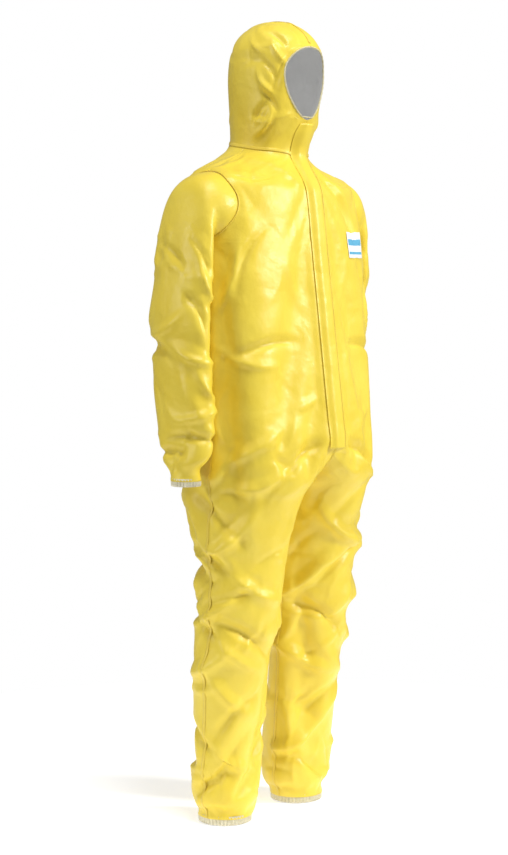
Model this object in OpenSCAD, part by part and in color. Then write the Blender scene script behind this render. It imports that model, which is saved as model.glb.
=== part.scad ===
// Chemical protective suit: a one-piece hooded coverall as it stands when worn.
// The suit faces -Y, the wearer's right side is at -X, and the origin is the middle of the neck seam.

/* [Fabric] */
// Thickness of the panel shells
panel_t = 2; // [1.5:0.5:3]
// Gap left between two panels along a seam
seam_gap = 0.4; // [0.3:0.1:0.8]
// Half the width of the tape over a seam
seam_half = 8; // [6:1:12]

/* [Front closure] */
// Height of the zip's top end
zip_top_z = -100; // [-110:5:-90]
// Height of the zip's bottom end
zip_bottom_z = -640; // [-650:5:-620]
// Half the gap between the front panels, where the teeth show
zip_gap = 7; // [6.5:0.5:8]
// Distance from the middle to the flap's free edge and to its sewn edge
flap_half = 28; // [25:1:32]
// Room under the middle of the flap
flap_rise = 9; // [8:0.5:11]
// Top end of the flap, at the chin
flap_top_z = 54; // [48:1:55]
// Bottom end of the flap
flap_bottom_z = -662; // [-668:1:-655]

/* [Face opening] */
// Height of the middle of the face opening
face_z = 138; // [130:1:146]
// Half the height of the face opening
face_half_h = 77; // [70:1:82]
// Half the width of the face opening at its widest
face_half_w = 68; // [60:1:74]
// Radius of the elastic in its binding
face_cord_r = 3.2; // [2.5:0.1:4]

/* [Sleeves] */
// Distance of the shoulder joint from the middle of the suit
shoulder_x = 205; // [200:1:210]
// Height of the shoulder joint
shoulder_z = -140; // [-144:1:-136]
// Radius of the sleeve head around the shoulder joint
head_r = 80; // [76:1:82]
// Running gap between the sleeve head and the armhole
head_gap = 3; // [2:0.5:4]
// Distance that the left sleeve hangs further back than the right one
left_lean = 46; // [0:2:50]

/* [Elastics] */
// Inner radius of the wrist elastic
wrist_r = 31; // [28:1:36]
// Inner radius of the ankle elastic
ankle_r = 58; // [50:1:62]
// Height of a cuff elastic
cuff_h = 12; // [8:1:16]
// Thickness of a cuff elastic
cuff_t = 1.5; // [1:0.5:2]
// Height of the waist elastic's middle
waist_z = -425; // [-440:5:-400]

/* [Label] */
// Width of the chest label
label_w = 72; // [60:2:80]
// Height of the chest label
label_h = 58; // [50:2:64]
// Distance of the chest label from the middle
label_x = 150; // [140:2:156]
// Height of the chest label's middle
label_z = -213; // [-225:1:-200]

/* [Hidden] */
yellow = [0.93, 0.80, 0.25];
white = [0.93, 0.91, 0.86];
dark_yellow = [0.85, 0.72, 0.20];

// Sections of the right half, top to bottom:
// [height, middle x, half width, front y, back y, squareness, tilt towards the front, lift of the normal]
SECTIONS = [
  [281, 0, 5, -12, 0, 2.0, 0, 1], [277, 0, 34, -42, 30, 2.0, 0, 0.9], [262, 0, 62, -74, 59, 2.0, 0, 0.7],
  [236, 0, 84, -99, 81, 2.1, 0, 0.4], [200, 0, 96, -112, 93, 2.2, 0, 0.1],
  [150, 0, 99, -113, 97, 2.2, 0, 0],
  [100, 0, 97, -106, 97, 2.1, 0, 0], [50, 0, 92, -94, 96, 2.1, 0.06, 0], [0, 0, 86, -76, 96, 2.0, 0.2, 0],
  [-14, 0, 98, -80, 100, 2.0, 0.18, 0.2], [-30, 0, 128, -88, 106, 2.0, 0.15, 0.7],
  [-48, 0, 172, -98, 113, 2.1, 0.11, 0.8], [-64, 0, 207, -106, 119, 2.2, 0.07, 0.7],
  [-82, 0, 227, -113, 124, 2.3, 0.03, 0.3], [-100, 0, 235, -118, 128, 2.4, 0, 0],
  [-230, 0, 243, -134.4, 136, 2.9, 0, 0], [-330, 0, 245, -147, 132, 2.9, 0, 0],
  [-425, 0, 243, -158.9, 124, 2.6, 0, 0], [-540, 0, 246, -173.4, 128, 2.4, 0, 0],
  [-600, 0, 247, -181, 131, 2.3, 0, 0], [-640, -32, 216, -186, 131, 2.2, 0, 0],
  [-690, -82, 167, -181, 128, 2.1, 0, 0], [-730, -112, 136, -165, 124, 2.0, 0, 0],
  [-760, -126, 122, -147, 119, 2.0, 0, 0], [-870, -130, 107, -120, 98, 2.0, 0, 0],
  [-1070, -130, 92, -92, 91, 2.0, 0, 0], [-1200, -128, 83, -69, 97, 2.0, 0, 0],
  [-1340, -126, 76, -46, 105, 2.0, 0, 0], [-1430, -126, 78, -43, 110, 2.0, 0, 0],
  [-1464, -126, 66, -31, 99, 2.0, 0, 0], [-1480, -126, 61, -28, 94, 2.0, 0, 0]];

hood_rows = [281, 277, 270, 262, 250, 236, 220, 214, 208, 195, 175, 150, 125, 100, 80, 66, 62, 50, 25, 0.6];
body_rows = [-0.6, -14, -30, -48, -58, -63, -68, -82, -100, -120, -142, -165, -190, -208, -218, -223, -229,
  -260, -300, -360, -425, -490, -550, -600, -640, -668, -690, -712, -730, -746, -758, -776, -815, -870,
  -935, -1000, -1070, -1135, -1200, -1270, -1340, -1390, -1430, -1464, -1480];

// Sleeve rings: [outer x, outer z, inner x, inner z, half depth, y of the middle]
RINGS = [
  [-142, -90.7, -142, -189.3, 49.3, 5], [-156, -76.8, -156, -203.2, 63.2, 5],
  [-178, -64.7, -178, -215.3, 75.3, 5], [-205, -60, -205, -220, 80, 5],
  [-236, -66.2, -225, -217.4, 75.8, 5], [-258, -80.1, -236, -213.8, 67.7, 5],
  [-270, -93.4, -243, -210.4, 60.5, 5], [-279, -109.6, -247.5, -213.5, 61, 5],
  [-284.4, -130.3, -249.5, -223, 65, 6], [-298, -175, -251, -250, 72, 9], [-312, -240, -252, -290, 77, 12],
  [-321, -320, -254, -350, 80, 14], [-326, -430, -254, -440, 78, 10], [-328, -540, -255, -542, 75, 4],
  [-330, -630, -257, -630, 71, -2], [-330, -672, -262, -672, 60, -6], [-329, -700, -267, -700, 36, -8],
  [-331, -716, -265, -716, 33, -8]];
sleeve_sides = 20;
panel_cols = 10;
hood_cols = 10;
shoulder_y = 5;

// Middles and lower edges of the cuff elastics
wrist_x = 298;
wrist_y = -8;
wrist_low_z = -731;
ankle_x = 126;
ankle_y = 33;
ankle_low_z = -1495;

// Zip: how far the tape and teeth lie behind the fabric, and the sizes of the slider and its pull
zip_tape_w = 15.4;
zip_tape_t = 0.8;
zip_tape_in = 3.2;
teeth_in = 2;
teeth_w = 2;
teeth_t = 3;
teeth_from_end = 4;
slider_w = 10.4;
slider_h = 14;
slider_top = 6;
plate_t = 1.2;
flange_t = 2;
lug_x = 3.1;
lug_out = 3.2;
lug_h = 4;
pull_len = 27;
pull_w = 9;
pin_r = 0.8;
pin_gap = 0.08;
pin_len = 7.4;
collar_r = 1.3;
collar_len = 4.2;

// Heights of a seam tape's and a label's two faces over the fabric
tape_low = 0.6;
tape_high = 1.4;
label_high = 1.2;

// Section at a height, in a straight blend between the two nearest ones of the list
function row_at(z, i = 0) =
  z >= SECTIONS[0][0] ? SECTIONS[0] :
  i >= len(SECTIONS) - 2 || z >= SECTIONS[i + 1][0]
    ? let (a = SECTIONS[i], b = SECTIONS[i + 1], t = min(1, (a[0] - z) / (a[0] - b[0])))
      a + t * (b - a)
    : row_at(z, i + 1);

// Angle around a section at which its distance from the suit's middle plane is edge
function angle_at(z, edge) =
  let (r = row_at(z), q = (edge + r[1]) / r[2], n = r[5])
  q <= -0.999 ? -90 : q >= 0.999 ? 90 : sign(q) * atan(abs(q) / pow(1 - pow(abs(q), n), 1 / n));

// Point of the right half at a height and an angle: 0 is the front, 90 the outer side, 180 the back
function skin(z, angle, off = 0) =
  let (
    r = row_at(z),
    n = r[5],
    k = pow(pow(abs(sin(angle)), n) + pow(abs(cos(angle)), n), -1 / n),
    depth = (r[4] - r[3]) / 2,
    x = r[1] - (r[2] + off) * sin(angle) * k,
    dy = -(depth + off) * cos(angle) * k)
  [x, (r[3] + r[4]) / 2 + dy, z + r[6] * dy + off * r[7]];

// True where a point of the skin lies outside the sphere that the sleeve head turns in
function clear_of_head(p) = norm(p - [-shoulder_x, shoulder_y, shoulder_z]) > head_r + head_gap;

// Angle, between one that is clear of the sleeve head and one that is not, where the armhole edge runs
function armhole_angle(z, inside, outside, steps = 14) =
  steps == 0 ? outside :
  let (mid = (inside + outside) / 2)
  clear_of_head(skin(z, mid, -panel_t)) && clear_of_head(skin(z, mid))
    ? armhole_angle(z, inside, mid, steps - 1)
    : armhole_angle(z, mid, outside, steps - 1);

function side_gap(z) = 57.3 * seam_gap / row_at(z)[2];

// Where the front panel ends at its outer edge, and where the back panel starts
function front_end(z) = clear_of_head(skin(z, 90)) && clear_of_head(skin(z, 90, -panel_t))
  ? 90 - side_gap(z) : armhole_angle(z, 90, 0);
function back_start(z) = clear_of_head(skin(z, 90)) && clear_of_head(skin(z, 90, -panel_t))
  ? 90 + side_gap(z) : armhole_angle(z, 90, 180);

// Where the front panel starts: along the zip, down the crotch seam, then along the inseam
function front_start(z) =
  let (edge = z > zip_bottom_z ? zip_gap : max(seam_gap, zip_gap - (zip_bottom_z - z) / 4))
  max(angle_at(z, edge), -90 + side_gap(z));
function back_end(z) = 180 - max(angle_at(z, seam_gap), -90 + side_gap(z));

// Half the width of the face opening at a height: wide at the brow, narrow at the chin
function face_half(z) =
  let (t = (z - face_z) / face_half_h)
  abs(t) >= 1 ? 0 : face_half_w * sqrt(1 - t * t) * (1 + 0.22 * t) / 1.02;
function hood_start(z) = angle_at(z, max(face_half(z), z > face_z ? seam_gap : zip_gap));

function panel_grid(rows, starts, ends, cols, off) =
  [for (i = [0:len(rows) - 1]) [for (j = [0:cols - 1])
    skin(rows[i], starts[i] + (ends[i] - starts[i]) * j / (cols - 1), off)]];

// Four faces of a shell's quad: two on its outer skin and two on its inner one
function facing_pair(a, b, c, d, side) =
  [[a, c, b], [a, d, c], [b + side, c + side, a + side], [c + side, d + side, a + side]];

// Two faces that close a shell's rim between a and b
function rim(a, b, side) = [[a, b + side, b], [a, a + side, b + side]];

// A closed shell between two grids of points with the same rows and columns
module shell(outer, inner) {
  rows = len(outer);
  cols = len(outer[0]);
  side = rows * cols;
  points = concat([for (r = outer) each r], [for (r = inner) each r]);
  function at(i, j) = i * cols + j;
  last = rows - 1;
  skins = [for (i = [0:last - 1], j = [0:cols - 2])
    let (a = at(i, j), b = at(i, j + 1), c = at(i + 1, j + 1), d = at(i + 1, j))
    each facing_pair(a, b, c, d, side)];
  ends = [for (j = [0:cols - 2]) each concat(
    rim(at(0, j + 1), at(0, j), side), rim(at(last, j), at(last, j + 1), side))];
  edges = [for (i = [0:last - 1]) each concat(
    rim(at(i, 0), at(i + 1, 0), side), rim(at(i + 1, cols - 1), at(i, cols - 1), side))];
  polyhedron(points, concat(skins, ends, edges));
}

// A closed shell between two tubes of points that go all the way round
module tube(outer, inner) {
  rows = len(outer);
  cols = len(outer[0]);
  side = rows * cols;
  points = concat([for (r = outer) each r], [for (r = inner) each r]);
  function at(i, j) = i * cols + j % cols;
  last = rows - 1;
  skins = [for (i = [0:last - 1], j = [0:cols - 1])
    let (a = at(i, j), b = at(i, j + 1), c = at(i + 1, j + 1), d = at(i + 1, j))
    each facing_pair(a, b, c, d, side)];
  ends = [for (j = [0:cols - 1]) each concat(
    rim(at(0, j + 1), at(0, j), side), rim(at(last, j), at(last, j + 1), side))];
  polyhedron(points, concat(skins, ends));
}

module panel(rows, starts, ends, cols = panel_cols) {
  shell(panel_grid(rows, starts, ends, cols, 0), panel_grid(rows, starts, ends, cols, -panel_t));
}

module front_panel() {
  panel(body_rows, [for (z = body_rows) front_start(z)], [for (z = body_rows) front_end(z)]);
}

module back_panel() {
  panel(body_rows, [for (z = body_rows) back_start(z)], [for (z = body_rows) back_end(z)]);
}

module hood_half() {
  ends = [for (z = hood_rows) 180 - angle_at(z, seam_gap)];
  panel(hood_rows, [for (z = hood_rows) hood_start(z)], ends, hood_cols);
}

module front_right() {
  color(yellow) front_panel();
}

module front_left() {
  color(yellow) mirror([1, 0, 0]) front_panel();
}

module back_right() {
  color(yellow) back_panel();
}

module back_left() {
  color(yellow) mirror([1, 0, 0]) back_panel();
}

module hood_right() {
  color(yellow) hood_half();
}

module hood_left() {
  color(yellow) mirror([1, 0, 0]) hood_half();
}

// One ring of the sleeve: an ellipse between its outer and inner points
function ring_points(r, off, lean) =
  let (
    o = [r[0], 0, r[1]],
    i = [r[2], 0, r[3]],
    mid = (o + i) / 2,
    half = norm(o - i) / 2,
    u = (o - i) / (2 * half),
    back = lean * pow(min(1, max(0, (-120 - mid[2]) / 320)), 1.5))
  [for (k = [0:sleeve_sides - 1]) let (w = 360 * k / sleeve_sides)
    mid + u * (half + off) * cos(w) + [0, r[5] + back + (r[4] + off) * sin(w), 0]];

module sleeve(lean) {
  tube([for (r = RINGS) ring_points(r, 0, lean)], [for (r = RINGS) ring_points(r, -panel_t, lean)]);
}

module sleeve_right() {
  color(yellow) sleeve(0);
}

module sleeve_left() {
  color(yellow) mirror([1, 0, 0]) sleeve(left_lean);
}

// A round elastic band lying flat at a height, inside its hem
module band(x, y, z, r, h, t) {
  translate([x, y, z]) difference() {
    cylinder(h = h, r = r + t, $fn = 64);
    translate([0, 0, -1]) cylinder(h = h + 2, r = r, $fn = 64);
  }
}

module wrist_elastic_right() {
  color(white) band(-wrist_x, wrist_y, wrist_low_z, wrist_r, cuff_h, cuff_t);
}

module wrist_elastic_left() {
  color(white) band(wrist_x, wrist_y + left_lean, wrist_low_z, wrist_r, cuff_h, cuff_t);
}

module ankle_elastic_right() {
  color(white) band(-ankle_x, ankle_y, ankle_low_z, ankle_r, cuff_h, cuff_t);
}

module ankle_elastic_left() {
  color(white) band(ankle_x, ankle_y, ankle_low_z, ankle_r, cuff_h, cuff_t);
}

// The zip's own frame: origin at its top end on the fabric, -Z down along the teeth, -Y outwards
module on_zip() {
  lower = row_at(zip_bottom_z);
  upper = row_at(zip_top_z);
  lean = atan((upper[3] - lower[3]) / (zip_top_z - zip_bottom_z));
  translate([0, upper[3], zip_top_z]) rotate([-lean, 0, 0]) children();
}

function zip_length() = norm([row_at(zip_top_z)[3] - row_at(zip_bottom_z)[3], zip_top_z - zip_bottom_z]);

module zip_tape() {
  on_zip() translate([-teeth_w - 0.6 - zip_tape_w, zip_tape_in, -zip_length()])
    cube([zip_tape_w, zip_tape_t, zip_length()]);
}

module zip_teeth() {
  on_zip() translate([-teeth_w - 0.4, teeth_in, teeth_from_end - zip_length()])
    cube([teeth_w, teeth_t, zip_length() - 2 * teeth_from_end]);
}

module zip_tape_right() {
  color(dark_yellow) zip_tape();
}

module zip_tape_left() {
  color(dark_yellow) mirror([1, 0, 0]) zip_tape();
}

module zip_teeth_right() {
  color(dark_yellow) zip_teeth();
}

module zip_teeth_left() {
  color(dark_yellow) mirror([1, 0, 0]) zip_teeth();
}

module zip_slider() {
  color(dark_yellow) on_zip() difference() {
    translate([0, 0, -slider_top - slider_h]) union() {
      translate([-slider_w / 2, 0.2, 0]) cube([slider_w, plate_t, slider_h]);
      for (s = [-1, 1]) translate([s * (slider_w - plate_t) / 2 - plate_t / 2, 0.8, 0])
        cube([plate_t, flange_t, slider_h]);
      for (s = [-1, 1]) translate([s * lug_x - plate_t / 2, 0.6 - lug_out, slider_h / 2])
        cube([plate_t, lug_out, lug_h]);
    }
    translate([-slider_w, -plate_t, 3 - slider_h]) rotate([0, 90, 0])
      cylinder(h = 2 * slider_w, r = pin_r + pin_gap, $fn = 32);
  }
}

module zip_pull() {
  neck_len = 8;
  color(dark_yellow) on_zip() translate([0, -plate_t, 3 - slider_h]) {
    translate([-pin_len / 2, 0, 0]) rotate([0, 90, 0]) cylinder(h = pin_len, r = pin_r, $fn = 32);
    translate([-collar_len / 2, 0, 0]) rotate([0, 90, 0]) cylinder(h = collar_len, r = collar_r, $fn = 32);
    translate([-collar_len / 2, -plate_t, -neck_len]) cube([collar_len, plate_t, neck_len]);
    translate([-pull_w / 2, -plate_t, pull_w / 2 - pull_len])
      cube([pull_w, plate_t, pull_len - 5 - pull_w / 2]);
    translate([0, 0, pull_w / 2 - pull_len]) rotate([90, 0, 0])
      cylinder(h = plate_t, r = pull_w / 2, $fn = 32);
  }
}

module zip_top_stops() {
  color(dark_yellow) for (s = [-1, 1]) on_zip()
    translate([s * 1.4 - 1, teeth_in, -3.4]) cube([2, teeth_t, 3]);
}

module zip_bottom_stop() {
  color(dark_yellow) on_zip()
    translate([-2.4, teeth_in - 0.1, 0.2 - zip_length()]) cube([4.8, teeth_t + 0.2, 3.2]);
}

// Heights of the flap's rows, from the chin to below the zip
flap_rows = [flap_top_z, 40, 20, 0, -14, -30, -48, -64, -82, -100, -230, -330, -425, -540, -600,
  zip_bottom_z, flap_bottom_z];

// Point over the front at a distance x from the middle and a distance out from the fabric
function over_front(z, x, out) =
  let (held = max(z, zip_bottom_z), p = skin(held, angle_at(held, abs(x))))
  [x, p[1] - out, p[2] + z - held];

// The flap lies flat at both edges and arches over the zip: [share of its half width, distance out]
FLAP = [[1, 1], [0.66, 2], [0.42, flap_rise], [0, flap_rise + 0.6],
  [-0.42, flap_rise], [-0.66, 2], [-1, 1]];
flap_t = 1.4;

function flap_grid(extra) =
  [for (z = flap_rows) [for (f = FLAP) over_front(z, f[0] * flap_half, f[1] + extra)]];

module storm_flap() {
  color(yellow) shell(flap_grid(flap_t), flap_grid(0));
}

module flap_adhesive() {
  color(white) shell(
    [for (z = flap_rows) [for (x = [-21, -27]) over_front(z, x, 0.8)]],
    [for (z = flap_rows) [for (x = [-21, -27]) over_front(z, x, 0.4)]]);
}

// The elastic round the face opening is a tube inside the hood's edge
face_steps = 36;
face_sides = 8;
face_inset = 1 - (face_cord_r + 2.6) / face_half_w;

function face_point(w) =
  let (z = face_z + face_half_h * cos(w), p = skin(z, angle_at(z, face_half(z))))
  [sign(sin(w)) * -p[0] * face_inset, p[1], face_z + (p[2] - face_z) * face_inset];

module face_elastic() {
  path = [for (k = [0:face_steps - 1]) face_point(360 * (k + 0.5) / face_steps)];
  rings = [for (k = [0:face_steps - 1])
    let (
      run = path[(k + 1) % face_steps] - path[(k + face_steps - 1) % face_steps],
      out = [0, -1, 0],
      across = cross(run, out) / norm(cross(run, out)),
      up = cross(across, run) / norm(run))
    [for (j = [0:face_sides - 1]) let (w = 360 * j / face_sides)
      path[k] + face_cord_r * (across * cos(w) + up * sin(w))]];
  points = [for (r = rings) each r];
  function at(k, j) = (k % face_steps) * face_sides + j % face_sides;
  faces = [for (k = [0:face_steps - 1], j = [0:face_sides - 1]) each [
    [at(k, j), at(k + 1, j + 1), at(k + 1, j)], [at(k, j), at(k, j + 1), at(k + 1, j + 1)]]];
  color(white) polyhedron(points, faces);
}

// A strip across the suit's middle: mirrored columns at distances xs from it, on the back or the front
function middle_row(z, xs, back, off) = concat(
  [for (x = xs) skin(z, back ? 180 - angle_at(z, x) : angle_at(z, x), off)],
  [for (k = [len(xs) - 1:-1:0]) let (p = skin(z, back ? 180 - angle_at(z, xs[k]) : angle_at(z, xs[k]), off))
    [-p[0], p[1], p[2]]]);

tape_xs = [seam_half, 2];
front_crown_rows = [222, 236, 250, 262, 270, 277];
back_crown_rows = [277, 270, 262, 250, 236, 220, 200, 175, 150, 125, 100, 75, 50, 25, 8];

function crown_grid(off) = concat(
  [for (z = front_crown_rows) middle_row(z, tape_xs, false, off)],
  [for (y = [-13, 1]) [for (x = [-seam_half, -2, 2, seam_half]) [x, y, 281 + off]]],
  [for (z = back_crown_rows) middle_row(z, tape_xs, true, off)]);

module hood_seam() {
  color(yellow) shell(crown_grid(tape_high), crown_grid(tape_low));
}

module centre_back_seam() {
  rows = [for (z = body_rows) if (z < -10 && z > -700) z];
  color(yellow) shell(
    [for (z = rows) middle_row(z, tape_xs, true, tape_high)],
    [for (z = rows) middle_row(z, tape_xs, true, tape_low)]);
}

// A seam tape on the right half between two angles of every row
module tape(rows, starts, ends, cols) {
  color(yellow) shell(
    panel_grid(rows, starts, ends, cols, tape_high), panel_grid(rows, starts, ends, cols, tape_low));
}

module neck_seam() {
  rows = [6, 0, -6];
  starts = [for (z = rows) angle_at(z, flap_half + 3)];
  ends = [for (z = rows) 180 - angle_at(z, seam_half + 2)];
  tape(rows, starts, ends, 14);
}

module neck_seam_right() {
  neck_seam();
}

module neck_seam_left() {
  mirror([1, 0, 0]) neck_seam();
}

// A seam tape that runs down the right half at one angle
module running_tape(rows, angle) {
  starts = [for (z = rows) angle - 57.3 * seam_half / row_at(z)[2]];
  tape(rows, starts, [for (k = [0:len(rows) - 1]) 2 * angle - starts[k]], 3);
}

module side_seam_right() {
  running_tape([for (z = body_rows) if (z < -229) z], 90);
}

module side_seam_left() {
  mirror([1, 0, 0]) side_seam_right();
}

module inseam_right() {
  running_tape([for (z = body_rows) if (z < -800) z], -90);
}

module inseam_left() {
  mirror([1, 0, 0]) inseam_right();
}

module waist_elastic() {
  rows = [waist_z + 8, waist_z, waist_z - 8];
  xs = [for (k = [8:-1:0]) 6 + 26 * k];
  outer = [for (z = rows) middle_row(z, xs, true, -6)];
  inner = [for (z = rows) middle_row(z, xs, true, -7)];
  color(white) shell(outer, inner);
}

module chest_label() {
  rows = [label_z + label_h / 2, label_z, label_z - label_h / 2];
  starts = [for (z = rows) angle_at(z, label_x - label_w / 2)];
  ends = [for (z = rows) angle_at(z, label_x + label_w / 2)];
  color("white") mirror([1, 0, 0]) shell(
    panel_grid(rows, starts, ends, 5, label_high), panel_grid(rows, starts, ends, 5, tape_low));
}

module care_label() {
  rows = [-24, -44, -64];
  color("white") shell(
    [for (z = rows) middle_row(z, [20, 7], true, -7)],
    [for (z = rows) middle_row(z, [20, 7], true, -7.6)]);
}

hood_right();
hood_left();
front_right();
front_left();
back_right();
back_left();
sleeve_right();
sleeve_left();
storm_flap();
flap_adhesive();
zip_tape_right();
zip_tape_left();
zip_teeth_right();
zip_teeth_left();
zip_slider();
zip_pull();
zip_top_stops();
zip_bottom_stop();
face_elastic();
wrist_elastic_right();
wrist_elastic_left();
ankle_elastic_right();
ankle_elastic_left();
waist_elastic();
hood_seam();
neck_seam_right();
neck_seam_left();
centre_back_seam();
side_seam_right();
side_seam_left();
inseam_right();
inseam_left();
chest_label();
care_label();
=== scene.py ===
"""Chemical protective suit: fabric, elastics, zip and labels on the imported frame. In metres, with the front to -Y."""
import math

import bpy
import numpy as np
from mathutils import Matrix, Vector
from mathutils.bvhtree import BVHTree


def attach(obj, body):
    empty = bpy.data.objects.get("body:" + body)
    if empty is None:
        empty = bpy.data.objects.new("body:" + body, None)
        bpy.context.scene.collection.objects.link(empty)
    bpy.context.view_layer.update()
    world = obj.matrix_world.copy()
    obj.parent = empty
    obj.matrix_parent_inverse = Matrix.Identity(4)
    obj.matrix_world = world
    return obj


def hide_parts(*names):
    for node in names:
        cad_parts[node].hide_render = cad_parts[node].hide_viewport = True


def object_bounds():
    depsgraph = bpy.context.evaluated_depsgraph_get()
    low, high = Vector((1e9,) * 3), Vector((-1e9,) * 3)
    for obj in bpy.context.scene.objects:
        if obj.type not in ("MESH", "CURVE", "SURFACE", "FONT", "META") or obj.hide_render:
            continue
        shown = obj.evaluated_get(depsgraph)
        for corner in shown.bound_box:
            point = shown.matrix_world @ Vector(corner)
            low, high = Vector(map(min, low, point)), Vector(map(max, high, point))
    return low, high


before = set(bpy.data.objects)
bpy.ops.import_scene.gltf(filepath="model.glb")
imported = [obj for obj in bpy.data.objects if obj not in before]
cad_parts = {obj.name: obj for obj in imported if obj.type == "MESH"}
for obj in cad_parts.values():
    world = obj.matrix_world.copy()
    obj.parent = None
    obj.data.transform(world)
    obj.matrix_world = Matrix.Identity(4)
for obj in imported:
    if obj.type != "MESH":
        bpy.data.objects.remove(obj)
cad_low, cad_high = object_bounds()

# ---------------------------------------------------------------- sizes

CLOTH_EDGE = 0.0105        # length of a cloth quad
FABRIC = 0.0006            # thickness of the laminate
SHARPEST = 0.0016          # how far a point may stand off the middle of its neighbours
FRAMES = 26                # length of the cloth simulation
MOST_SLACK = 0.6           # how much longer the cloth is where its slack is 1
SHOULDER = Vector((0.205, 0.005, -0.140))
HEAD_R = 0.080             # ball of the sleeve's head, round the shoulder joint
ARMHOLE_R = 0.0815         # the armhole's edge lies on this ball
ZIP_TOP, ZIP_BOTTOM = -0.100, -0.640
ZIP_GAP = 0.007            # half the opening between the front edges
FLAP_HALF = 0.028          # half the storm flap's width
FLAP_TOP, FLAP_END = 0.054, -0.662
FACE_Z, FACE_HALF_H, FACE_HALF_W = 0.138, 0.077, 0.068
WAIST_Z = -0.425
HEM_Z = -1.480
LABEL_X, LABEL_Z = 0.150, -0.213
LABEL_HALF_W, LABEL_HALF_H = 0.036, 0.029

# Sections of the right half: height, middle x, half width, front y, back y, squareness, tilt to the front
SECTIONS = np.array([
    (0.276, 0, 0.005, -0.012, 0.000, 2.0, 0), (0.272, 0, 0.031, -0.040, 0.027, 2.0, 0),
    (0.258, 0, 0.059, -0.071, 0.056, 2.0, 0), (0.234, 0, 0.083, -0.098, 0.080, 2.1, 0),
    (0.200, 0, 0.096, -0.112, 0.093, 2.2, 0), (0.150, 0, 0.099, -0.113, 0.097, 2.2, 0),
    (0.100, 0, 0.097, -0.106, 0.097, 2.1, 0), (0.050, 0, 0.092, -0.094, 0.096, 2.1, 0.06),
    (0.000, 0, 0.086, -0.076, 0.096, 2.0, 0.20), (-0.014, 0, 0.098, -0.080, 0.100, 2.0, 0.18),
    (-0.030, 0, 0.136, -0.088, 0.106, 2.0, 0.15), (-0.048, 0, 0.184, -0.098, 0.113, 2.1, 0.11),
    (-0.064, 0, 0.215, -0.106, 0.119, 2.3, 0.07), (-0.082, 0, 0.230, -0.113, 0.124, 2.4, 0.03),
    (-0.100, 0, 0.235, -0.118, 0.128, 2.4, 0), (-0.230, 0, 0.243, -0.1344, 0.136, 2.9, 0),
    (-0.330, 0, 0.245, -0.147, 0.132, 2.9, 0), (-0.425, 0, 0.243, -0.1589, 0.124, 2.6, 0),
    (-0.540, 0, 0.246, -0.1734, 0.128, 2.4, 0), (-0.600, 0, 0.247, -0.181, 0.131, 2.3, 0),
    (-0.640, -0.032, 0.216, -0.186, 0.131, 2.2, 0), (-0.690, -0.082, 0.167, -0.181, 0.128, 2.1, 0),
    (-0.730, -0.112, 0.136, -0.165, 0.124, 2.0, 0), (-0.760, -0.126, 0.122, -0.147, 0.119, 2.0, 0),
    (-0.870, -0.130, 0.107, -0.120, 0.098, 2.0, 0), (-1.070, -0.130, 0.092, -0.092, 0.091, 2.0, 0),
    (-1.200, -0.128, 0.083, -0.069, 0.097, 2.0, 0), (-1.340, -0.126, 0.076, -0.046, 0.105, 2.0, 0),
    (-1.430, -0.126, 0.078, -0.043, 0.110, 2.0, 0), (-1.464, -0.126, 0.066, -0.031, 0.099, 2.0, 0),
    (-1.480, -0.126, 0.061, -0.028, 0.094, 2.0, 0)])

# Rings of the right sleeve: outer x, outer z, inner x, inner z, half depth, y of the middle
RINGS = np.array([
    (-0.142, -0.0907, -0.142, -0.1893, 0.0493, 0.005), (-0.156, -0.0768, -0.156, -0.2032, 0.0632, 0.005),
    (-0.178, -0.0647, -0.178, -0.2153, 0.0753, 0.005), (-0.205, -0.060, -0.205, -0.220, 0.080, 0.005),
    (-0.239, -0.0650, -0.225, -0.2174, 0.0780, 0.006), (-0.262, -0.0760, -0.236, -0.2140, 0.0730, 0.008),
    (-0.274, -0.0880, -0.243, -0.2120, 0.0700, 0.010), (-0.282, -0.1050, -0.2475, -0.2150, 0.071, 0.011),
    (-0.288, -0.1270, -0.2495, -0.223, 0.073, 0.012), (-0.299, -0.175, -0.251, -0.250, 0.076, 0.012),
    (-0.312, -0.240, -0.252, -0.290, 0.077, 0.012), (-0.321, -0.320, -0.254, -0.350, 0.080, 0.014),
    (-0.326, -0.430, -0.254, -0.440, 0.078, 0.010), (-0.328, -0.540, -0.255, -0.542, 0.075, 0.004),
    (-0.330, -0.630, -0.257, -0.630, 0.071, -0.002), (-0.330, -0.672, -0.262, -0.672, 0.060, -0.006),
    (-0.329, -0.700, -0.267, -0.700, 0.036, -0.008), (-0.331, -0.718, -0.265, -0.718, 0.033, -0.008)])
LEFT_LEAN = 0.046

# ---------------------------------------------------------------- curves and noise


def smooth_table(rows, keys, at):
    """Every column of rows at the keys in at, along a smooth curve that never overshoots; keys rise."""
    keys, rows = np.asarray(keys, float), np.asarray(rows, float)
    step = np.diff(keys)[:, None]
    slope = np.diff(rows, axis=0) / step
    tangent = np.zeros_like(rows)
    same = slope[:-1] * slope[1:] > 0
    tangent[1:-1] = np.where(same, 2 * slope[:-1] * slope[1:] / np.where(same, slope[:-1] + slope[1:], 1), 0)
    tangent[0], tangent[-1] = slope[0], slope[-1]
    at = np.clip(np.asarray(at, float), keys[0], keys[-1])
    i = np.clip(np.searchsorted(keys, at, side="right") - 1, 0, len(keys) - 2)
    h = step[i]
    t = ((at - keys[i])[:, None]) / h
    return (rows[i] * (1 + 2 * t) * (1 - t) ** 2 + tangent[i] * h * t * (1 - t) ** 2
            + rows[i + 1] * t * t * (3 - 2 * t) + tangent[i + 1] * h * t * t * (t - 1))


def sections_at(z):
    """The section of the right half at each height."""
    z = np.atleast_1d(z)
    return smooth_table(SECTIONS[::-1], SECTIONS[::-1, 0], z)


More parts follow.
